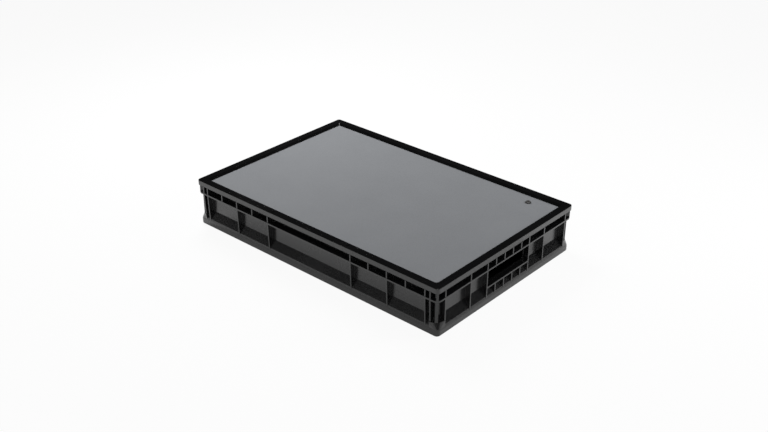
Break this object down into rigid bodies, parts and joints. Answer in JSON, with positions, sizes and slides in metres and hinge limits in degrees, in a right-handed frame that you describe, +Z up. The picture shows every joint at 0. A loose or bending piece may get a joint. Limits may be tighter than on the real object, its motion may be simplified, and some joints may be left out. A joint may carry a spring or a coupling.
{
  "type": "esd storage box",
  "caption": "Shallow black conductive stacking box with ribbed sides and hand grips, and a lift-off lid inlaid with a grey mat and an earth stud.",
  "frame": {"origin": "centre of the footprint on the ground", "axes": "+X along the length, +Y along the width, away from the side that the picture shows at the left, +Z up"},
  "size_m": [0.6, 0.4, 0.096],
  "materials": {
    "black_conductive_plastic": "satin",
    "grey_mat": "smooth matt",
    "plated_metal": "nickel plated"
  },
  "bodies": {
    "container": {"container": "black_conductive_plastic"},
    "lid": {"lid": "black_conductive_plastic", "lid_mat": "grey_mat", "ground_stud": "plated_metal", "stud_washer": "plated_metal"}
  },
  "joints": [
    {"name": "lid_lift", "type": "slide", "parent": "container", "child": "lid", "axis": [0, 0, 1], "range_m": [0, 0.12]}
  ]
}
